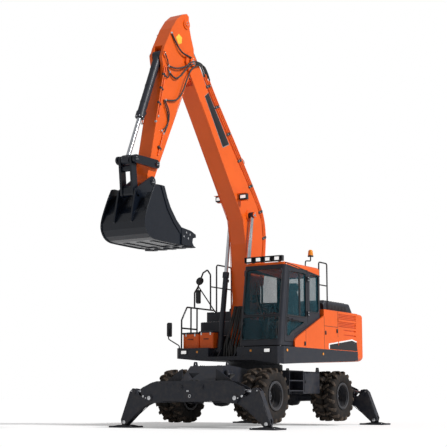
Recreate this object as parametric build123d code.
"""Wheeled excavator, standing on its four stabiliser legs with the boom raised.

Millimetres. X points forward, Y to the machine's left, Z up.
The model is drawn about the swing axis and moved along X when it is written,
so that the row's origin lies on the ground under the middle of the whole machine.
"""
from build123d import *
from math import atan2, cos, degrees, hypot, pi, radians, sin, sqrt
import os

os.makedirs("parts", exist_ok=True)

# ---- driving sizes -------------------------------------------------------------------------
play = 6.0                 # running gap between pieces that move past each other
fit_gap = 0.4              # radial gap of a pin in its eye
seat = 0.3                 # gap under a piece that rests on its carrier

wheel_lift = 80.0          # wheels' height above the ground, with the machine on its legs
tyre_radius = 527.0
tyre_width = 262.0
twin_gap = 26.0            # between the two tyres of a pair
rim_radius = 262.0
track_width = 1944.0       # middle of one pair to middle of the other
front_axle_x = 1240.0
rear_axle_x = -1610.0
axle_z = wheel_lift + tyre_radius

frame_half_width = 390.0
frame_low_z = 660.0
frame_arch_z = 830.0       # underside of the frame over an axle
frame_top_z = 1130.0
ring_radius = 590.0        # swing ring
deck_low_z = 1300.0
deck_top_z = 1560.0
upper_half_width = 1250.0
deck_front_x = 1060.0
tail_radius = 2850.0
tail_low_z = 1350.0
house_top_z = 2380.0
house_rear_x = -2325.0     # where the counterweight is bolted on

leg_front_x = 2200.0       # middle planes of the two leg beams
leg_rear_x = -2370.0
beam_depth = 210.0         # leg beam, along the machine
beam_plate = 18.0
leg_width = 130.0
leg_pivot = (965.0, 567.0)     # y and z, on the left side
leg_lug = (1365.0, 680.0)
leg_foot = (1600.0, 100.0)
cylinder_root = (235.0, 770.0)
pad_length = 560.0
pad_width = 420.0
pad_thick = 26.0

cab_right_y = 245.0
cab_left_y = 1205.0
cab_floor_z = 1580.0
cab_roof_z = 3235.0
cab_nose_x = 1015.0        # at the floor
cab_brow_x = 770.0         # at the roof
cab_rear_x = -690.0
cab_wall = 45.0
door_front_x = 850.0
door_rear_x = -110.0
door_thick = 40.0
pane = 6.0

boom_y = -100.0                # the boom stands a little to the right, beside the cab
boom_foot = (280.0, 1772.0)    # x and z of the pin, boom raised
boom_length = 5693.0
boom_angle = 67.46             # from foot pin to arm pin, above the ground
boom_half = 185.0
boom_ram_root = (742.0, 1500.0)
boom_ram_y = 262.0             # from the boom's middle
arm_length = 2880.0
arm_angle = -63.61             # from arm pin to bucket pin
arm_half = 145.0
bucket_half = 490.0
bucket_plate = 22.0

# ---- drawing helpers -----------------------------------------------------------------------


def block(x, y, z):
    """Box from three (low, high) pairs."""
    return Pos((x[0] + x[1]) / 2, (y[0] + y[1]) / 2, (z[0] + z[1]) / 2) * Box(
        x[1] - x[0], y[1] - y[0], z[1] - z[0])


def outline(points, radius=0.0):
    """Closed flat outline of straight lines, with every corner rounded."""
    flat = make_face(Polyline(*points, close=True))
    return fillet(flat.vertices(), radius) if radius else flat


def disc(point, radius):
    return Pos(*point) * Circle(radius)


def strap(discs):
    """Flat bar wrapped round discs given as (point, radius)."""
    edges = [edge for point, radius in discs for edge in disc(point, radius).edges()]
    return make_hull(edges)


def across(flat, y_mid, width):
    """Side outline (x, z) given a width across the machine."""
    return Pos(0, y_mid, 0) * extrude(Plane.XZ * flat, amount=width / 2, both=True)


def lengthways(flat, x_mid, length):
    """Front outline (y, z) given a length along the machine."""
    return Pos(x_mid, 0, 0) * extrude(Plane.YZ * flat, amount=length / 2, both=True)


def upright(flat, z_low, z_high):
    """Plan outline (x, y) raised from one height to another."""
    return Pos(0, 0, z_low) * extrude(flat, amount=z_high - z_low)


def bar(start, end, radius, bore=0.0):
    """Round bar, or a tube when it has a bore, between two points."""
    base = Plane(origin=Vector(*start), z_dir=Vector(*end) - Vector(*start))
    length = (Vector(*end) - Vector(*start)).length
    solid = base * (Pos(0, 0, length / 2) * Cylinder(radius, length))
    if bore:
        solid -= base * (Pos(0, 0, length / 2) * Cylinder(bore, length * 1.01))
    return solid


def pipe(points, radius, bend):
    """Round bar bent along a route."""
    path = FilletPolyline(*points, radius=bend)
    start = path.edges()[0]
    section = Plane(origin=path @ 0, z_dir=path % 0) * Circle(radius)
    return sweep(section, path=path)


def side(sign, solid):
    """The left-hand solid, or its mirror image for the right-hand side."""
    return solid if sign > 0 else mirror(solid, about=Plane.XZ)


def frame_at(origin, angle):
    """Turns (along, out) places on a leaning member into side-view points."""
    c, s = cos(radians(angle)), sin(radians(angle))
    return lambda along, out: (origin[0] + along * c - out * s, origin[1] + along * s + out * c)


def span(a, b):
    return hypot(b[0] - a[0], b[1] - a[1])


def toward(a, b, distance):
    """The point at a distance from a on the line to b."""
    share = distance / span(a, b)
    return a[0] + (b[0] - a[0]) * share, a[1] + (b[1] - a[1]) * share


on_boom = frame_at(boom_foot, boom_angle)      # out is towards the back of the boom
arm_pin = on_boom(boom_length, 0)
boom_lug = on_boom(2351, 930)
arm_ram_root = on_boom(3431, 1184)
on_arm = frame_at(arm_pin, arm_angle)          # out is towards the bucket cylinder
arm_lug = on_arm(-600, 450)
bucket_ram_root = on_arm(440, 745)
lever_pin = on_arm(arm_length - 368, 37)
lever_end = on_arm(arm_length - 82, 599)
bucket_pin = on_arm(arm_length, 0)
link_end = on_arm(arm_length + 433, 265)

nodes = {}

# ---- chassis -------------------------------------------------------------------------------
frame_nose_x = leg_front_x - beam_depth / 2
frame_tail_x = leg_rear_x + beam_depth / 2
frame_plan = outline([
    (frame_nose_x, frame_half_width), (700, frame_half_width), (430, 540), (-430, 540),
    (-800, 420), (frame_tail_x, 380), (frame_tail_x, -380), (-800, -420),
    (-430, -540), (430, -540), (700, -frame_half_width), (frame_nose_x, -frame_half_width)])
frame_side = outline([
    (frame_tail_x, 700), (frame_tail_x, 1090), (-2200, frame_top_z), (900, frame_top_z),
    (1480, 1180), (1750, 1180), (frame_nose_x, 890), (frame_nose_x, 720),
    (1720, 720), (1560, frame_arch_z), (920, frame_arch_z), (760, frame_low_z),
    (-1130, frame_low_z), (-1290, frame_arch_z), (-1930, frame_arch_z), (-2090, 700)])
chassis = upright(frame_plan, 600, 1300) & across(frame_side, 0, 1200)
for x, length in ((1330, 520), (-1700, 420)):     # openings in the top plate
    chassis -= block((x - length / 2, x + length / 2), (-210, 210), (900, 1300))
notch = outline([(-360, 1090), (-20, 1090), (-190, 900)], 12)     # opening in the sloping nose plate
chassis -= lengthways(notch, frame_nose_x - 90, 180)
for sign in (-1, 1):     # gussets from the nose down to the leg beam
    gusset = outline([(sign * 385, 1120), (sign * 760, 880), (sign * 385, 880)])
    chassis += lengthways(gusset, frame_nose_x - 60, 24)
for x_eye, z_eye, sign in ((1600, 1180, 1), (1600, 1180, -1), (-2090, 1140, 1), (-2090, 1140, -1)):
    eye = outline([(-80, -40), (80, -40), (42, 82), (-42, 82)], 14) - disc((0, 38), 26)     # lifting eye
    chassis += Pos(x_eye, sign * 372, z_eye) * across(eye, 0, 24)
nodes["chassis_frame"] = chassis

# leg beams: two plates with the leg cylinders between them, open at the top
beam_face = outline([
    (-985, 470), (-800, 476), (-640, 506), (640, 506), (800, 476), (985, 470), (1060, 560),
    (1165, 650), (1180, 745), (940, 852), (800, 886), (-800, 886), (-940, 852), (-1180, 745), (-1165, 650),
    (-1060, 560)])
beams = []
for x_mid in (leg_front_x, leg_rear_x):
    low = x_mid - beam_depth / 2
    high = x_mid + beam_depth / 2
    beam = lengthways(beam_face, low + beam_plate / 2, beam_plate)
    beam += lengthways(beam_face, high - beam_plate / 2, beam_plate)
    beam += block((low, high), (-640, 640), (506, 524))
    beam += block((low, high), (-14, 14), (506, 880))
    for sign in (-1, 1):
        beam += block((low, high), (sign * 600 - 9, sign * 600 + 9), (506, 640))
        outer_face = high if x_mid > 0 else low
        inner_face = low if x_mid > 0 else high
        outward = 14 if x_mid > 0 else -14
        for point, radius in ((leg_pivot, 52), (cylinder_root, 30)):
            y = sign * point[0]
            beam += bar((outer_face, y, point[1]), (outer_face + outward, y, point[1]), radius + 16)
            beam += bar((inner_face, y, point[1]), (outer_face, y, point[1]), radius - 12)
    beams.append(beam)
nodes["leg_beams"] = Compound(children=beams)

# swing ring between chassis and deck
ring = Pos(0, 0, (frame_top_z + deck_low_z) / 2 - 35) * Cylinder(ring_radius, deck_low_z - frame_top_z - 70)
ring += Pos(0, 0, deck_low_z - 40 - seat) * Cylinder(ring_radius - 60, 80)
ring -= Pos(0, 0, 1200) * Cylinder(ring_radius - 130, 400)
nodes["swing_ring"] = ring

# ---- legs, their pads and cylinders --------------------------------------------------------
foot_pin = 30.0
leg_side = outline([
    (975, 640), (905, 560), (950, 480), (1035, 452), (1190, 372), (1390, 190), (1560, 52), (1660, 75),
    (1680, 150), (1470, 690), (1400, 755), (1310, 740), (1262, 628), (1190, 590), (1090, 612)], 18)
rod_radius = 27.0
for end, x_mid in (("front", leg_front_x), ("rear", leg_rear_x)):
    for hand, sign in (("left", 1), ("right", -1)):
        name = f"{end}_{hand}"
        leg = lengthways(leg_side, x_mid, leg_width)
        leg -= bar((x_mid - 200, *leg_pivot), (x_mid + 200, *leg_pivot), 40 + fit_gap)
        slot = outline([(1180, 560), (1300, 540), (1440, 600), (1520, 900), (1180, 900)])
        leg -= lengthways(slot, x_mid, 74)
        ear = 45.0
        foot_gap = outline([(1440, -60), (1470, 190), (1700, 190), (1760, -60)])
        leg -= lengthways(foot_gap, x_mid, leg_width - 2 * ear + 2 * play)
        leg += bar((x_mid - 65, *leg_foot), (x_mid + 65, *leg_foot), foot_pin)
        for edge in (-1, 1):
            start = x_mid + edge * 37
            leg += bar((start, *leg_lug), (x_mid + edge * 70, *leg_lug), 44)
        nodes[f"leg_{name}"] = side(sign, leg)

        pad = Pos(x_mid, leg_foot[0], pad_thick / 2) * Box(pad_width, pad_length, pad_thick)
        pad = fillet(pad.edges().filter_by(Axis.Z), 40)
        hub = leg_width - 2 * ear - 2
        cheek = outline([(-105, pad_thick), (105, pad_thick), (52, 135), (-52, 135)], 12)
        boss = cheek - disc((0, leg_foot[1]), foot_pin + fit_gap)
        pad += Pos(0, leg_foot[0], 0) * lengthways(boss, x_mid, hub)
        for edge in (-1, 1):     # stiffening ribs across the plate
            rib = outline([(-230, pad_thick), (230, pad_thick), (60, 52), (-60, 52)])
            pad += Pos(0, leg_foot[0], 0) * lengthways(rib, x_mid + edge * 150, 16)
        nodes[f"pad_{name}"] = side(sign, pad)

        lug_span = span(cylinder_root, leg_lug)
        gland = toward(cylinder_root, leg_lug, lug_span - 300)
        barrel = bar((x_mid, *cylinder_root), (x_mid, *gland), 50)
        barrel += bar((x_mid, *toward(cylinder_root, leg_lug, lug_span - 360)),
                      (x_mid, *gland), 56)
        barrel += bar((x_mid - 60, *cylinder_root), (x_mid + 60, *cylinder_root), 58)
        barrel -= bar((x_mid - 99, *cylinder_root), (x_mid + 99, *cylinder_root), 18 + fit_gap)
        inner = toward(cylinder_root, leg_lug, 90)
        barrel -= bar((x_mid, *inner), (x_mid, *toward(cylinder_root, leg_lug, lug_span)),
                      rod_radius + fit_gap)
        nodes[f"leg_barrel_{name}"] = side(sign, barrel)

        rod = bar((x_mid, *toward(cylinder_root, leg_lug, lug_span - 500)),
                  (x_mid, *leg_lug), rod_radius)
        rod += bar((x_mid - 31, *leg_lug), (x_mid + 31, *leg_lug), 44)
        nodes[f"leg_rod_{name}"] = side(sign, rod)

# ---- axles, driveline and steering ---------------------------------------------------------
kingpin_y = 620.0
spindle_radius = 85.0
spindle_end = track_width / 2 - 172
yoke_gap = 112.0          # half the height between the yoke's arms
hub_gap = 6.0


def axle_casting(x_mid):
    """Axle beam with its differential housing."""
    half = outline([(0, 0), (0, 205), (120, 190), (190, 110), (430, 92), (500, 92), (500, 0)])
    casting = Pos(x_mid, 0, axle_z) * revolve(half, Axis.X).rotate(Axis.Z, 90)
    casting += Pos(x_mid, 0, axle_z) * revolve(half, Axis.X).rotate(Axis.Z, -90)
    return casting


front_axle = axle_casting(front_axle_x)
yoke = outline([(450, -150), (655, -150), (680, -135), (680, -yoke_gap), (505, -yoke_gap),
                (505, yoke_gap), (680, yoke_gap), (680, 135), (655, 150), (450, 150)])
for hand in (1, -1):
    arms = Pos(front_axle_x, 0, axle_z) * lengthways(yoke, 0, 116)
    arms -= bar((front_axle_x, kingpin_y, axle_z - 170), (front_axle_x, kingpin_y, axle_z + 170),
                34 + fit_gap)
    front_axle += side(hand, arms)
steer_rod_x = front_axle_x - 235
steer_rod_z = axle_z + 100
front_axle += bar((steer_rod_x, -190, steer_rod_z), (steer_rod_x, 190, steer_rod_z), 48)
for y in (-165, 165):
    front_axle += block((steer_rod_x - 20, front_axle_x - 60), (y - 14, y + 14),
                        (steer_rod_z - 44, steer_rod_z + 44))
front_axle -= bar((steer_rod_x, -400, steer_rod_z), (steer_rod_x, 400, steer_rod_z), 22 + fit_gap)
trunnion = outline([(-150, axle_z + 90), (150, axle_z + 90), (90, frame_arch_z), (-90, frame_arch_z)])
front_axle += lengthways(trunnion, front_axle_x, 360)
nodes["front_axle"] = front_axle

rear_axle = axle_casting(rear_axle_x)
for sign in (-1, 1):
    rear_axle += bar((rear_axle_x, sign * 480, axle_z), (rear_axle_x, sign * spindle_end, axle_z),
                     spindle_radius)
    rear_axle += block((rear_axle_x - 110, rear_axle_x + 110), (sign * 300 - 60, sign * 300 + 60),
                       (axle_z + 60, frame_arch_z))
gearbox = block((-1010, -640), (-210, 210), (430, frame_low_z))
gearbox = fillet(gearbox.edges().filter_by(Axis.X), 40)
gearbox += bar((-640, 0, 560), (-470, 0, 560), 95)
driveline = gearbox + bar((-1400, 0, axle_z), (-1010, 0, axle_z), 38)
driveline += bar((-470, 0, 560), (front_axle_x - 206, 0, axle_z), 42)
nodes["rear_axle"] = rear_axle + driveline

for hand, sign in (("left", 1), ("right", -1)):
    knuckle = bar((front_axle_x, kingpin_y, axle_z - yoke_gap + 1),
                  (front_axle_x, kingpin_y, axle_z + yoke_gap - 1), 72)
    knuckle += bar((front_axle_x, kingpin_y, axle_z - 155), (front_axle_x, kingpin_y, axle_z + 155), 34)
    knuckle += bar((front_axle_x, kingpin_y, axle_z), (front_axle_x, spindle_end, axle_z),
                   spindle_radius)
    steer_arm = strap([((front_axle_x, kingpin_y), 52), ((steer_rod_x, kingpin_y - 30), 34)])
    steer_arm &= Pos(front_axle_x - 110, kingpin_y) * Rectangle(400, 400)
    arm_low = axle_z + 25
    knuckle += upright(steer_arm, arm_low, arm_low + 26)
    nodes[f"knuckle_{hand}"] = side(sign, knuckle)

steering_rod = bar((steer_rod_x, -(kingpin_y - 30), steer_rod_z),
                   (steer_rod_x, kingpin_y - 30, steer_rod_z), 22)
for sign in (-1, 1):
    y_eye = sign * (kingpin_y - 30)
    steering_rod += bar((steer_rod_x, y_eye, arm_low + 26 + play), (steer_rod_x, y_eye, steer_rod_z + 36), 36)
nodes["steering_rod"] = steering_rod

# ---- wheels --------------------------------------------------------------------------------
tyre_offset = (tyre_width + twin_gap) / 2
tread_radius = tyre_radius
tyre_half = outline([      # (across, radius)
    (-94, rim_radius + 0.3), (94, rim_radius + 0.3), (94, 281), (tyre_width / 2 - 8, 312),
    (tyre_width / 2, 400), (tyre_width / 2 - 10, 460), (tyre_width / 2 - 26, tread_radius),
    (-tyre_width / 2 + 26, tread_radius), (-tyre_width / 2 + 10, 460), (-tyre_width / 2, 400),
    (-tyre_width / 2 + 8, 312), (-94, 281)])
one_tyre = revolve(tyre_half, Axis.X).rotate(Axis.Z, 90)
rim_half = outline([
    (-110, 236), (-110, 280), (-98, 280), (-95, rim_radius), (95, rim_radius), (98, 280),
    (110, 280), (110, 236)])
one_rim = revolve(rim_half, Axis.X).rotate(Axis.Z, 90)
hub_out = track_width / 2 + 28
for end, x_mid in (("front", front_axle_x), ("rear", rear_axle_x)):
    for hand, sign in (("left", 1), ("right", -1)):
        middle = track_width / 2
        wheel_y = [middle - tyre_offset, middle + tyre_offset]
        tyres = [Pos(x_mid, y, axle_z) * one_tyre for y in wheel_y]
        nodes[f"tyres_{end}_{hand}"] = side(sign, Compound(children=tyres))
        rim = Pos(x_mid, wheel_y[0], axle_z) * one_rim
        rim += Pos(x_mid, wheel_y[1], axle_z) * one_rim
        rim += bar((x_mid, wheel_y[0] + 60, axle_z), (x_mid, wheel_y[1] - 60, axle_z), 240, 214)
        rim += bar((x_mid, middle - 16, axle_z), (x_mid, middle + 16, axle_z), 240)
        rim += bar((x_mid, spindle_end - 90, axle_z), (x_mid, hub_out, axle_z), 165)
        rim += bar((x_mid, hub_out, axle_z), (x_mid, hub_out + 60, axle_z), 118)
        rim -= bar((x_mid, spindle_end - 200, axle_z), (x_mid, spindle_end + seat, axle_z),
                   spindle_radius + hub_gap)
        nodes[f"rims_{end}_{hand}"] = side(sign, rim)

# ---- steps and boxes between the axles -----------------------------------------------------
step_rows = (700.0, 900.0, 1090.0)
step_front_x = 330.0
step_rear_x = -260.0
box_rear_x = -960.0
step_inner_y = 560.0
step_outer_y = 1010.0
boxes = []
for sign in (1, -1):
    locker = block((box_rear_x, step_rear_x), (step_inner_y, step_outer_y), (650, 1095))
    locker = chamfer(locker.edges().filter_by(Axis.X), 18)
    locker += block((box_rear_x + 120, step_rear_x - 120), (450, step_inner_y), (700, 1000))
    for z in step_rows:
        locker += block((step_rear_x, step_front_x), (step_outer_y - 260, step_outer_y), (z, z + 22))
    for x in (step_rear_x, step_front_x - 12):
        locker += block((x, x + 12), (step_outer_y - 260, step_outer_y), (650, 1112))
    locker += block((step_rear_x, step_front_x), (step_outer_y - 272, step_outer_y - 260), (650, 1112))
    locker += block((-120, 120), (530, step_outer_y - 266), (700, 1000))
    boxes.append(side(sign, locker) - chassis)
nodes["steps_and_lockers"] = Compound(children=boxes)

# ---- revolving deck and counterweight ------------------------------------------------------
trough = (boom_y - boom_ram_y - 78, boom_y + boom_ram_y + 78)     # room for boom and cylinders
trough_z = 1380.0
bracket_y = (boom_half + 10, boom_half + 50)
foot_radius = 175.0
deck_face = outline([      # (y, z); the cab's side hangs lower
    (-upper_half_width, deck_top_z), (-upper_half_width, 1362), (-600, deck_low_z), (600, deck_low_z),
    (upper_half_width, 1214), (upper_half_width, deck_top_z)])
deck = lengthways(deck_face, (house_rear_x + deck_front_x) / 2, deck_front_x - house_rear_x)
deck = chamfer(deck.edges().filter_by(Axis.Z).group_by(Axis.X)[-1], 90)
deck_rise = outline([(deck_front_x + 10, 1212), (house_rear_x - 10, 1366), (house_rear_x - 10, 1150),
                     (deck_front_x + 10, 1150)])     # the underside rises towards the tail
deck -= across(deck_rise, 0, 3000)
deck -= block((-60, deck_front_x + 10), trough, (trough_z, deck_top_z + 10))
for low_y, high_y in ((470, upper_half_width - 60), (-upper_half_width + 60, -460)):     # hollow underneath
    deck -= block((-1900, -640), (low_y, high_y), (1100, deck_top_z - 24))
    deck -= block((-590, deck_front_x - 110), (low_y + 130, high_y) if low_y > 0 else (low_y, high_y - 130),
                  (1100, deck_top_z - 24))
fx, fz = boom_foot
bracket = outline([(fx - 330, deck_low_z + 30), (fx + 300, deck_low_z + 30), (fx + 165, fz), (fx + 60, fz + 150),
                   (fx - 60, fz + 150), (fx - 165, fz)], 40) + disc(boom_foot, foot_radius)
for sign in (1, -1):
    middle = boom_y + sign * (bracket_y[0] + bracket_y[1]) / 2
    plate = across(bracket, middle, bracket_y[1] - bracket_y[0])
    deck += plate
    for edge in (-1, 1):     # ears of the boom cylinders' pins
        rx = boom_ram_root[0]
        ear = strap([(boom_ram_root, 75), ((rx - 140, trough_z - 20), 60), ((rx + 140, trough_z - 20), 60)])
        deck += across(ear, boom_y + sign * boom_ram_y + edge * 71, 22)
deck += bar((boom_foot[0], boom_y - bracket_y[1] - 14, boom_foot[1]),
            (boom_foot[0], boom_y + bracket_y[1] + 14, boom_foot[1]), 55)
for sign in (1, -1):
    deck += bar((boom_ram_root[0], boom_y + sign * boom_ram_y - 82, boom_ram_root[1]),
                (boom_ram_root[0], boom_y + sign * boom_ram_y + 82, boom_ram_root[1]), 38)
nodes["deck"] = deck

tail_plan = block((-tail_radius, house_rear_x), (-upper_half_width, upper_half_width),
                  (tail_low_z, house_top_z))
counterweight = tail_plan & Pos(0, 0, 1900) * Cylinder(tail_radius, 1400)
counterweight = fillet(counterweight.edges().group_by(Axis.Z)[-1].filter_by(
    lambda e: e.center().X < house_rear_x - 10), 70)
counterweight = fillet(counterweight.edges().group_by(Axis.Z)[0].filter_by(
    lambda e: e.center().X < house_rear_x - 10), 110)
nodes["counterweight"] = counterweight

# ---- engine house --------------------------------------------------------------------------
panel_thick = 34.0
bulkhead_x = cab_rear_x - 45
side_low_z = deck_top_z
roof_low_z = house_top_z - 24
house_split_y = -430.0         # where the left and the right shell meet
right_front_x = -340.0
hood_front_x = -1240.0
hood_rear_x = -2610.0
hood_y = (-760.0, 980.0)
hood_top_z = 2622.0
hood_hole = block((house_rear_x - 10, hood_front_x - 40), (hood_y[0] + 40, hood_y[1] - 40), (roof_low_z - 10, house_top_z + 10))
left_panel = outline([
    (house_rear_x, side_low_z), (515, side_low_z), (515, 1680), (470, 1725), (300, 1805),
    (-725, 2240), (-745, house_top_z), (house_rear_x, house_top_z)])
panel_y = upper_half_width - panel_thick / 2
house_left = across(left_panel, panel_y, panel_thick)
house_left += block((bulkhead_x - 30, bulkhead_x), (house_split_y, upper_half_width - 1), (side_low_z, house_top_z))
house_left += block((house_rear_x, bulkhead_x), (house_split_y, upper_half_width - 1), (roof_low_z, house_top_z))
house_left -= hood_hole
hinge_z = house_top_z + 34
hinge_places = (-300, 600)
for y in hinge_places:     # ears of the hood's hinges
    for edge in (-1, 1):
        y_ear = y + edge * 62
        house_left += block((hood_front_x + 4, hood_front_x + 36), (y_ear - 12, y_ear + 12), (house_top_z, hinge_z))
        house_left += bar((hood_front_x + 20, y_ear - 12, hinge_z), (hood_front_x + 20, y_ear + 12, hinge_z), 16)
grilles = (     # air grilles: x range, z range, rows
    ((-2250, -1400), (2205, 2335), 4), ((-2250, -1400), (2045, 2175), 4),
    ((-2230, -1660), (1960, 2015), 1), ((-2230, -1660), (1860, 1915), 1))


def slots(grille, y):
    """Slots of one air grille."""
    length, height, rows = grille
    pitch = (height[1] - height[0]) / rows
    cuts = []
    for row in range(rows):
        z = height[0] + pitch * (row + 0.5)
        cuts.append(Pos((length[0] + length[1]) / 2, y, z) * Box(length[1] - length[0], 40, pitch * 0.52))
    return cuts


for grille in grilles:
    for cut in slots(grille, upper_half_width):
        house_left -= cut
nodes["house_left"] = house_left

house_right = block((house_rear_x, right_front_x), (-upper_half_width, -upper_half_width + panel_thick),
                    (side_low_z, house_top_z))
house_right += block((house_rear_x, right_front_x), (-upper_half_width + 1, house_split_y), (roof_low_z, house_top_z))
house_right += block((right_front_x - 30, right_front_x), (-upper_half_width + 1, house_split_y),
                     (side_low_z, house_top_z))
house_right += block((bulkhead_x - 30, right_front_x), (house_split_y - 30, house_split_y), (side_low_z, house_top_z))
house_right -= hood_hole
for grille in grilles[:2]:
    for cut in slots(grille, -upper_half_width):
        house_right -= cut
nodes["house_right"] = house_right

box_front_x = 862.0
box_seam_y = -790.0
tank_side = outline([      # stepped, as the way up to the roof
    (right_front_x + 0.5, side_low_z), (box_front_x - 322, side_low_z), (box_front_x - 322, 1830), (165, 1830),
    (165, 2140), (-70, 2140), (-70, house_top_z - 8), (right_front_x + 0.5, house_top_z - 8)])
tank = across(tank_side, -825, 760)
tank = fillet(tank.edges().filter_by(Axis.Y).group_by(Axis.Z)[-1], 20)
tank += Pos(-200, -640, house_top_z + 10) * Cylinder(70, 60)
nodes["fuel_tank"] = tank

boxes = []
for low_y, high_y, height in ((-1192, box_seam_y - 4, 1888), (box_seam_y + 4, -446, 1908)):
    one = block((box_front_x - 316, box_front_x), (low_y, high_y), (side_low_z, height - 34))
    one = fillet(one.edges().filter_by(Axis.Z), 45)
    lid = block((box_front_x - 318, box_front_x + 6), (low_y - 3, high_y + 3), (height - 34, height))
    lid = fillet(lid.edges().filter_by(Axis.Z), 48)
    boxes.append(one + chamfer(lid.edges().group_by(Axis.Z)[-1], 14))
nodes["tool_box"] = Compound(children=boxes)

hood_side = outline([
    (hood_rear_x, house_top_z + seat), (hood_rear_x, 2500), (-2500, hood_top_z), (hood_front_x - 70, hood_top_z - 8),
    (hood_front_x, 2560), (hood_front_x, house_top_z + seat)])
hood_mid = (hood_y[0] + hood_y[1]) / 2
hood = across(hood_side, hood_mid, hood_y[1] - hood_y[0])
hood = fillet(hood.edges().group_by(Axis.Y)[-1].sort_by(Axis.Z)[-3:], 60)
hood = fillet(hood.edges().group_by(Axis.Y)[0].sort_by(Axis.Z)[-3:], 60)
hood_room = outline([
    (hood_rear_x + 34, house_top_z - 10), (hood_rear_x + 34, 2482), (-2486, hood_top_z - 36),
    (hood_front_x - 86, hood_top_z - 40), (hood_front_x - 34, 2536), (hood_front_x - 34, house_top_z - 10)])
hood -= across(hood_room, hood_mid, hood_y[1] - hood_y[0] - 60)
for row in range(9):     # pressed ribs across the lid
    rib_x = hood_front_x - 190 - row * 118
    rib = outline([(rib_x - 34, hood_top_z - 20), (rib_x + 34, hood_top_z - 20), (rib_x + 22, hood_top_z + 14),
                   (rib_x - 22, hood_top_z + 14)])
    hood += across(rib, hood_mid, hood_y[1] - hood_y[0] - 170)
for y in hinge_places:
    hood += bar((hood_front_x + 20, y - 45, hinge_z), (hood_front_x + 20, y + 45, hinge_z), 16)
    hood += block((hood_front_x - 4, hood_front_x + 20), (y - 45, y + 45), (hinge_z, hinge_z + 16))
nodes["engine_hood"] = hood

engine = block((-1950, -950), (-480, 560), (deck_top_z, 2250))
engine = chamfer(engine.edges().filter_by(Axis.X), 60)
nodes["engine_block"] = engine

# ---- cab -----------------------------------------------------------------------------------


def cab_body(inset):
    """The cab's closed outer form, shrunk by an inset."""
    slope = (cab_nose_x - cab_brow_x) / (cab_roof_z - cab_floor_z)
    side_view = [
        (cab_nose_x - inset, cab_floor_z + inset),
        (cab_nose_x + slope * (cab_floor_z - (cab_roof_z - inset)) - inset, cab_roof_z - inset),
        (cab_rear_x + inset, cab_roof_z - inset), (cab_rear_x + inset, cab_floor_z + inset)]
    middle = (cab_left_y + cab_right_y) / 2
    body = across(make_face(Polyline(*side_view, close=True)), middle, cab_left_y - cab_right_y - 2 * inset)
    body = fillet(body.edges().filter_by(Axis.Y).group_by(Axis.Z)[-1], 60 - inset / 2)
    uprights = body.edges().filter_by(lambda e: abs(e.tangent_at(0.5).Z) > 0.9)
    return fillet(uprights, 75 - inset)


def opening(x, y, z, radius=55):
    """Rounded opening through one wall, across its thinnest side."""
    sides = [x[1] - x[0], y[1] - y[0], z[1] - z[0]]
    axis = (Axis.X, Axis.Y, Axis.Z)[sides.index(min(sides))]
    hole = block(x, y, z)
    return fillet(hole.edges().filter_by(axis), radius)


cab_feet = []
windows = {      # name: (x range, y range, z range)
    "screen_upper": ((650, 1100), (cab_right_y + 62, cab_left_y - 76), (2185, 3100)),
    "screen_lower": ((750, 1100), (cab_right_y + 62, cab_left_y - 76), (1690, 2145)),
    "right_side": ((-560, 640), (cab_right_y - 10, cab_right_y + 80), (2120, 3080)),
    "rear": ((cab_rear_x - 10, cab_rear_x + 80), (cab_right_y + 90, cab_left_y - 90), (2300, 3050)),
    "quarter": ((-590, -190), (cab_left_y - 80, cab_left_y + 10), (2290, 3060)),
    "roof": ((-150, 480), (cab_right_y + 190, cab_left_y - 190), (cab_roof_z - 80, cab_roof_z + 10)),
}
for x in (cab_rear_x + 120, cab_brow_x - 60):     # rubber mounts under the floor
    for y in (cab_right_y + 130, cab_left_y - 130):
        cab_feet.append(Pos(x, y, (deck_top_z + seat + cab_floor_z + 5) / 2) * Cylinder(60, cab_floor_z + 5 - deck_top_z - seat))
door_edge = [(870, 1660), (665, 3130), (door_rear_x, 3130), (door_rear_x, 2035), (505, 1802), (560, 1660)]
door_plan = outline(door_edge)
cab = cab_body(0) - cab_body(cab_wall)
for foot in cab_feet:
    cab += foot
for x, y, z in windows.values():
    cab -= opening(x, y, z)
cab -= across(offset(door_plan, play, kind=Kind.INTERSECTION), cab_left_y, 200)
cap_edge = outline([(900, 3190), (330, 3140), (-900, 3035), (-900, 3400), (900, 3400)])     # the painted roof
roof_cap = cab & across(cap_edge, (cab_left_y + cab_right_y) / 2, 1200)
cab -= across(cap_edge, (cab_left_y + cab_right_y) / 2, 1200)
nodes["cab_frame"] = cab
nodes["cab_roof"] = Pos(0, 0, seat) * roof_cap

glass_shell = cab_body(18) - cab_body(18 + pane)
glass = []
for x, y, z in windows.values():
    glass += (glass_shell & opening(x, y, z)).solids()
nodes["cab_glass"] = Compound(children=glass)

door_y = cab_left_y - door_thick / 2
door = across(door_plan, door_y, door_thick)
door_windows = [outline([(745, 2165), (628, 3060), (-40, 3060), (-40, 2165)], 60),
                outline([(760, 1880), (745, 2080), (50, 2080), (50, 2050), (560, 1850), (650, 1770), (770, 1770)], 8)]
for window in door_windows:
    door -= across(window, door_y, 200)
hinge_x = door_rear_x - 10
hinge_y = cab_left_y + 26
for z in (2250, 2950):
    door += bar((hinge_x, hinge_y, z - 50), (hinge_x, hinge_y, z + 50), 16)
    door += block((hinge_x, door_rear_x + 50), (cab_left_y, hinge_y + 10), (z - 45, z + 45))
door += bar((600, cab_left_y + 40, 2100), (300, cab_left_y + 40, 2100), 11)
for x in (590, 310):
    door += bar((x, cab_left_y - 5, 2100), (x, cab_left_y + 45, 2100), 9)
nodes["cab_door"] = door
nodes["door_glass"] = Compound(children=[
    solid for window in door_windows for solid in across(window, cab_left_y - 21, pane).solids()])

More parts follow.
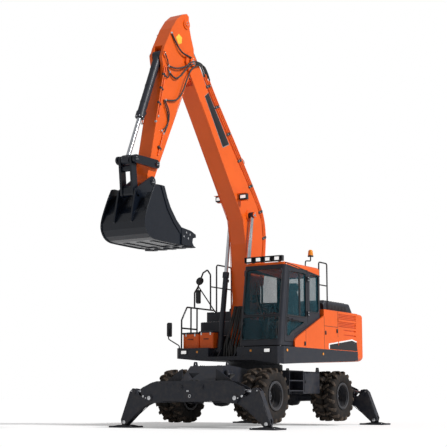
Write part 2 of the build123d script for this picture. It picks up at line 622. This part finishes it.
seat_x = -60.0
seat_y = (cab_left_y + cab_right_y) / 2
inside_z = cab_floor_z + cab_wall
interior = block((seat_x - 200, seat_x + 260), (seat_y - 210, seat_y + 210), (inside_z, inside_z + 330))
cushion = block((seat_x - 240, seat_x + 290), (seat_y - 250, seat_y + 250), (inside_z + 330, inside_z + 450))
interior += fillet(cushion.edges().group_by(Axis.Z)[-1], 40)
back = outline([(seat_x - 250, inside_z + 430), (seat_x - 110, inside_z + 430), (seat_x - 200, inside_z + 1120),
                (seat_x - 310, inside_z + 1120)], 30)
interior += across(back, seat_y, 460)
interior += across(outline([(seat_x - 305, inside_z + 1110), (seat_x - 215, inside_z + 1110),
                            (seat_x - 230, inside_z + 1280), (seat_x - 320, inside_z + 1280)], 25), seat_y, 280)
for sign in (-1, 1):
    interior += block((seat_x - 150, seat_x + 330), (seat_y + sign * 320 - 65, seat_y + sign * 320 + 65),
                      (inside_z, inside_z + 560))
    interior += bar((seat_x + 250, seat_y + sign * 320, inside_z + 550), (seat_x + 270, seat_y + sign * 320, inside_z + 740), 20)
column = (620.0, inside_z + 720)
interior += Pos(760, seat_y, inside_z + 30) * Cylinder(75, 60)
interior += bar((755, seat_y, inside_z + 45), (column[0], seat_y, column[1]), 42)
wheel_plane = Plane(origin=(column[0], seat_y, column[1]), z_dir=(-0.42, 0, 1))
interior += wheel_plane * Torus(180, 14)
interior += wheel_plane * Box(350, 26, 16)
nodes["cab_interior"] = interior

# ---- rails, mirrors and lamps --------------------------------------------------------------
rail_radius = 17.0
rail_y = -upper_half_width + 62
roof_z = house_top_z + seat
post_x = 905
knee_x = 709
rail_top_z = 2428
rail_mid_z = 1985
rails = pipe([(post_x, rail_y, side_low_z), (post_x, rail_y, 2150), (knee_x, rail_y, rail_top_z),
              (-364, rail_y, rail_top_z), (-364, rail_y, roof_z)], rail_radius, 40)
for x, low_z in ((561, 1888 + seat), (335, 1830 + seat)):
    rails += bar((x, rail_y, low_z), (x, rail_y, rail_top_z), rail_radius)
rails += bar((post_x, rail_y, rail_mid_z), (335, rail_y, rail_mid_z), rail_radius)
hoop_mid_z = 2930
rails += pipe([(430, rail_y, rail_top_z), (430, rail_y, 2750), (300, rail_y, 2885), (110, rail_y, 3200),
               (-60, rail_y, 3280), (-180, rail_y, 3190), (-186, rail_y, rail_top_z)], rail_radius, 45)
rails += bar((285, rail_y, 2895), (-330, rail_y, rail_top_z), rail_radius - 4)
rails += pipe([(-424, rail_y, roof_z), (-424, rail_y, 3425), (-1030, rail_y, 3425), (-1030, rail_y, roof_z)],
              rail_radius, 60)
rails += bar((-186, rail_y, hoop_mid_z), (-1030, rail_y, hoop_mid_z), rail_radius - 3)
mirror_y = -upper_half_width - 80
post_foot = (deck_front_x - 88, -upper_half_width + 56)
mirror_post = [(*post_foot, deck_top_z + seat), (*post_foot, deck_top_z + 60),
               (deck_front_x + 100, mirror_y, 1750), (deck_front_x + 135, mirror_y, 1960)]
rails += pipe(mirror_post, 12, 45)
mirror = fillet(Box(40, 96, 290).edges().filter_by(Axis.X), 40)
rails += Pos(deck_front_x + 82, mirror_y, 1945) * mirror
rails += bar((deck_front_x + 80, mirror_y, 1900), (deck_front_x + 135, mirror_y, 1900), 12)
rails += Pos(175, rail_y - 80, 2690) * mirror
rails += bar((185, rail_y - 70, 2800), (300, rail_y, 2885), 11)
rails += bar((130, rail_y - 60, 3020), (160, rail_y - 60, 3030), 84)
rails += bar((140, rail_y - 50, 3025), (190, rail_y, 3068), 11)
rear_rail_y = cab_left_y - 75
rear_rail = [(cab_rear_x - 72, rear_rail_y, roof_z), (cab_rear_x - 72, rear_rail_y, 3375),
             (cab_rear_x - 440, rear_rail_y, 3375), (cab_rear_x - 440, rear_rail_y, roof_z)]
rails += pipe(rear_rail, 15, 50)
rails += bar((cab_rear_x - 72, rear_rail_y, 2900), (cab_rear_x - 440, rear_rail_y, 2900), 13)
nodes["rails_and_mirrors"] = rails

lamps = []
for y in (-1015, 935):     # headlights let into the deck's front
    lamp = Pos(deck_front_x + 9, y, 1480) * Box(18 - 2 * seat, 145, 84)
    lamps.append(fillet(lamp.edges().filter_by(Axis.X), 12))
bar_x = cab_brow_x + 58
bar_y = (cab_left_y + cab_right_y) / 2
bar_z = cab_roof_z + 55
light_bar = block((bar_x - 26, bar_x + 2), (bar_y - 428, bar_y + 428), (bar_z + 50, bar_z + 62))
light_bar += block((bar_x - 60, bar_x - 26), (bar_y - 428, bar_y + 428), (bar_z - 50, bar_z + 62))
for index in range(4):
    y = bar_y + (index - 1.5) * 212
    lamp = Pos(bar_x - 4, y, bar_z) * Box(74, 132, 98)
    light_bar += fillet(lamp.edges().filter_by(Axis.X), 14)
for sign in (-1, 1):
    light_bar += block((cab_brow_x - 90, bar_x - 30), (bar_y + sign * 300 - 15, bar_y + sign * 300 + 15),
                       (cab_roof_z + seat, cab_roof_z + 40))
beacon_x = -850.0
beacon_y = cab_left_y - 305
beacon = Pos(-600, beacon_y, cab_roof_z + 20 + seat) * Box(120, 120, 40)
beacon += pipe([(-600, beacon_y, cab_roof_z + 20), (-600, beacon_y, cab_roof_z + 150), (-840, beacon_y, cab_roof_z + 180),
                (-840, beacon_y, cab_roof_z + 280)], 13, 40)
tail_lamps = [block((-2745, -2600), (y - 90, y + 90), (1560, 1650)) - counterweight for y in (-900, 900)]
nodes["lamps"] = Compound(children=[*lamps, *tail_lamps, light_bar, beacon])

# ---- boom ----------------------------------------------------------------------------------
tip_radius = 185.0
tip = boom_length
belly = [(84, -157), (756, 209), (1843, 589), (2358, 679), (tip - 652, -21), (tip - 164, -154), (tip + 60, -165)]
spine = [(tip + 60, 165), (tip - 93, 240), (tip - 557, 350), (3903, 800), (2474, 1322), (2090, 1384), (1763, 1290),
         (712, 705), (-51, 170)]
boom_side = outline([on_boom(*place) for place in belly + spine])
boom_side = boom_side + disc(boom_foot, foot_radius) + disc(arm_pin, tip_radius)
boom = across(boom_side, 0, 2 * boom_half)
fork = disc(arm_pin, 450) + outline([on_boom(tip - 380, -500), on_boom(tip + 500, -500), on_boom(tip + 500, 500), on_boom(tip, 500), on_boom(tip, 0)])
boom -= across(fork, 0, 2 * (arm_half + play))
boom -= bar((boom_foot[0], -400, boom_foot[1]), (boom_foot[0], 400, boom_foot[1]), 55 + fit_gap)
boom += bar((arm_pin[0], -boom_half - 25, arm_pin[1]), (arm_pin[0], boom_half + 25, arm_pin[1]), 58)
boss_end = boom_ram_y - 54 - play
for sign in (1, -1):
    boom += bar((boom_lug[0], sign * (boom_half - 5), boom_lug[1]), (boom_lug[0], sign * boss_end, boom_lug[1]), 120)
ram_ear = strap([(arm_ram_root, 85), (on_boom(2950, 1080), 60), (on_boom(3750, 790), 60)])
for sign in (1, -1):
    boom += across(ram_ear, sign * 115, 36)
boom += bar((arm_ram_root[0], -150, arm_ram_root[1]), (arm_ram_root[0], 150, arm_ram_root[1]), 40)
nodes["boom"] = boom

# ---- arm -----------------------------------------------------------------------------------
arm_side = outline([on_arm(*p) for p in (
    (150, -130), (800, -82), (arm_length - 180, -82), (arm_length + 50, -80), (arm_length + 60, 70),
    (arm_length - 90, 125), (arm_length - 440, 200), (1400, 455), (900, 560),
    (640, 690), (520, 790), (300, 815), (-200, 790), (-480, 735), (-690, 640), (-805, 530), (-800, 450),
    (-640, 360), (-470, 190), (-330, 20), (-150, -80))])
arm_side = arm_side + disc(arm_pin, 170) + disc(bucket_pin, 95)
arm = across(arm_side, 0, 2 * arm_half)
arm -= across(outline([on_arm(*p) for p in (
    (-900, -100), (-900, 575), (-700, 590), (-480, 695), (-400, 690), (-330, 560), (-230, 60), (-330, -100))]), 0, 190)
arm -= across(outline([on_arm(*p) for p in ((250, 600), (250, 1000), (1500, 1000), (1500, 470), (900, 575), (620, 590))]), 0, 170)
arm -= bar((arm_pin[0], -400, arm_pin[1]), (arm_pin[0], 400, arm_pin[1]), 58 + fit_gap)
for sign in (1, -1):
    arm += bar((arm_lug[0], sign * (95), arm_lug[1]), (arm_lug[0], sign * (arm_half + 20), arm_lug[1]), 100)
arm += bar((bucket_ram_root[0], -arm_half - 15, bucket_ram_root[1]), (bucket_ram_root[0], arm_half + 15, bucket_ram_root[1]), 38)
lever_y = 190.0
lever_bar = 40.0
arm += bar((lever_pin[0], -lever_y - 32, lever_pin[1]), (lever_pin[0], lever_y + 32, lever_pin[1]), 38)
ear_y = 188.0
ear_plate = 36.0
arm += bar((bucket_pin[0], -ear_y - 30, bucket_pin[1]), (bucket_pin[0], ear_y + 30, bucket_pin[1]), 40)
nodes["arm"] = arm

# ---- tipping lever and connecting link -----------------------------------------------------
link_y = 122.0
link_bar = 46.0
eye_half = 85.0
lever_side = strap([(lever_pin, 82), (lever_end, 76)]) - disc(lever_pin, 38 + fit_gap)
lever = []
for sign in (1, -1):
    half = across(lever_side, sign * lever_y, lever_bar)
    stub = sign * (link_y - link_bar / 2)
    half += bar((lever_end[0], stub, lever_end[1]), (lever_end[0], sign * (lever_y + 34), lever_end[1]), 36)
    lever.append(half)
nodes["tipping_lever"] = Compound(children=lever)

link_side = strap([(lever_end, 72), (link_end, 72)]) - disc(lever_end, 36 + fit_gap)
link = across(link_side, link_y, link_bar) + across(link_side, -link_y, link_bar)
link += across(strap([(toward(lever_end, link_end, 142), 38), (toward(lever_end, link_end, 178), 38)]), 0, 2 * link_y)
link += across(strap([(toward(link_end, lever_end, 90), 42), (link_end, 55)]), 0, 2 * link_y)
nodes["connecting_link"] = link

# ---- bucket --------------------------------------------------------------------------------


def at_bucket(points):
    return [(bucket_pin[0] + x, bucket_pin[1] + z) for x, z in points]


mouth = [(-780, -850), (-560, -838), (-344, -683), (-155, -480), (-50, -310)]
cheek = mouth + [(41, -116), (250, -115), (335, -140), (545, -590), (615, -800), (600, -930), (520, -1040),
                 (400, -1098), (250, -1118), (-780, -1120)]
sheet = mouth + [(0, -205), (150, -215), (250, -345), (515, -640), (598, -800), (583, -928), (507, -1031),
                 (393, -1088), (248, -1108), (-780, -1110)]
hollow = [(-900, -800), (-560, -780), (-344, -630), (-155, -420), (-36, -229), (132, -232), (231, -361),
          (497, -656), (574, -806), (560, -920), (492, -1012), (386, -1065), (246, -1084), (-900, -1086)]
inside = 2 * (bucket_half - bucket_plate)
bucket = across(outline(at_bucket(sheet)), 0, 2 * bucket_half - 4) - across(outline(at_bucket(hollow)), 0, inside)
mouth_band = outline(at_bucket(mouth + [(41, -116), (150, -116), (60, -290), (-60, -520), (-255, -740), (-480, -920),
                                        (-780, -930)]))
cutter = outline(at_bucket([(-500, -800), (-800, -828), (-960, -880), (-966, -936), (-868, -960), (-850, -1040),
                            (-905, -1112), (-500, -1112)]))
for sign in (1, -1):
    bucket += across(outline(at_bucket(cheek)), sign * (bucket_half - bucket_plate / 2), bucket_plate)
    bucket += across(mouth_band, sign * (bucket_half + 7), 14)
    bucket += across(cutter, sign * (bucket_half + 9), 26)
lip = outline(at_bucket([(-850, -1108), (-820, -1125), (-560, -1125), (-560, -1086), (-800, -1086)]))
bucket += across(lip, 0, 2 * bucket_half)
ear_side = strap([(bucket_pin, 98), (link_end, 88)]) + outline(at_bucket([
    (-95, 0), (-60, -222), (150, -226), (245, -358), (490, -638), (585, -830), (624, -800), (588, -610), (515, -290)]))
for sign in (1, -1):
    plate = across(ear_side, sign * ear_y, ear_plate) - bar(
        (bucket_pin[0], -400, bucket_pin[1]), (bucket_pin[0], 400, bucket_pin[1]), 40 + fit_gap)
    plate += bar((link_end[0], sign * (ear_y - ear_plate / 2), link_end[1]),
                 (link_end[0], sign * (ear_y + 50), link_end[1]), 52)
    bucket += plate
for index in range(3):     # wear strips under the floor
    strip = outline(at_bucket([(-540, -1122), (120, -1122), (180, -1104), (-560, -1104)]))
    bucket += across(strip, (index - 1) * 300, 70)
tooth = outline(at_bucket([(-1024, -1110), (-1000, -1122), (-720, -1148), (-720, -1060), (-860, -1062)]))
for index in range(5):
    y = (index - 2) * (bucket_half - 60) / 2
    bucket += across(tooth, y, 84)
nodes["bucket"] = bucket

# ---- cylinders of boom, arm and bucket -----------------------------------------------------
rams = {     # root, end, middle offsets across, barrel radius, rod radius, barrel length, eye half width, rod eye
    "boom": (boom_ram_root, boom_lug, (boom_ram_y, -boom_ram_y), 54, 38, 1640, 54, 58),
    "arm": (arm_ram_root, arm_lug, (0,), 82, 48, 1760, 88, 68),
    "bucket": (bucket_ram_root, lever_end, (0,), 74, 42, 1440, 78, 78),
}
for name, (root, end, places, outer, inner, body, half, eye_radius) in rams.items():
    barrels, rods = [], []
    reach = span(root, end)
    for y in places:
        def point(distance):
            x, z = toward(root, end, distance)
            return x, y, z
        barrel = bar(point(0), point(body), outer)
        barrel += bar(point(body - 110), point(body), outer + 14)
        barrel -= bar(point(outer + 40), point(body + 1), inner + fit_gap)
        barrel += bar((root[0], y - half, root[1]), (root[0], y + half, root[1]), outer + 8)
        barrel -= bar((root[0], y - 200, root[1]), (root[0], y + 200, root[1]), 38 + fit_gap if name != "arm" else 40 + fit_gap)
        barrels.append(barrel)
        rod = bar(point(body - 400), point(reach - 30), inner)
        rod += bar((end[0], y - half, end[1]), (end[0], y + half, end[1]), eye_radius)
        rods.append(rod)
    nodes[f"{name}_barrel" if len(places) == 1 else f"{name}_barrels"] = Compound(children=barrels)
    nodes[f"{name}_rod" if len(places) == 1 else f"{name}_rods"] = Compound(children=rods)

for name in ("boom", "arm", "bucket", "tipping_lever", "connecting_link", "boom_barrels", "boom_rods",
             "arm_barrel", "arm_rod", "bucket_barrel", "bucket_rod"):
    nodes[name] = Pos(0, boom_y, 0) * nodes[name]

# ---- write the pieces ----------------------------------------------------------------------
front_x = max(solid.bounding_box().max.X for solid in nodes.values())
rear_x = min(solid.bounding_box().min.X for solid in nodes.values())
middle_x = (front_x + rear_x) / 2
for name, solid in nodes.items():
    piece = Compound(children=[Pos(-middle_x, 0, 0) * one for one in solid.solids()])
    export_step(piece, f"parts/{name}.step")
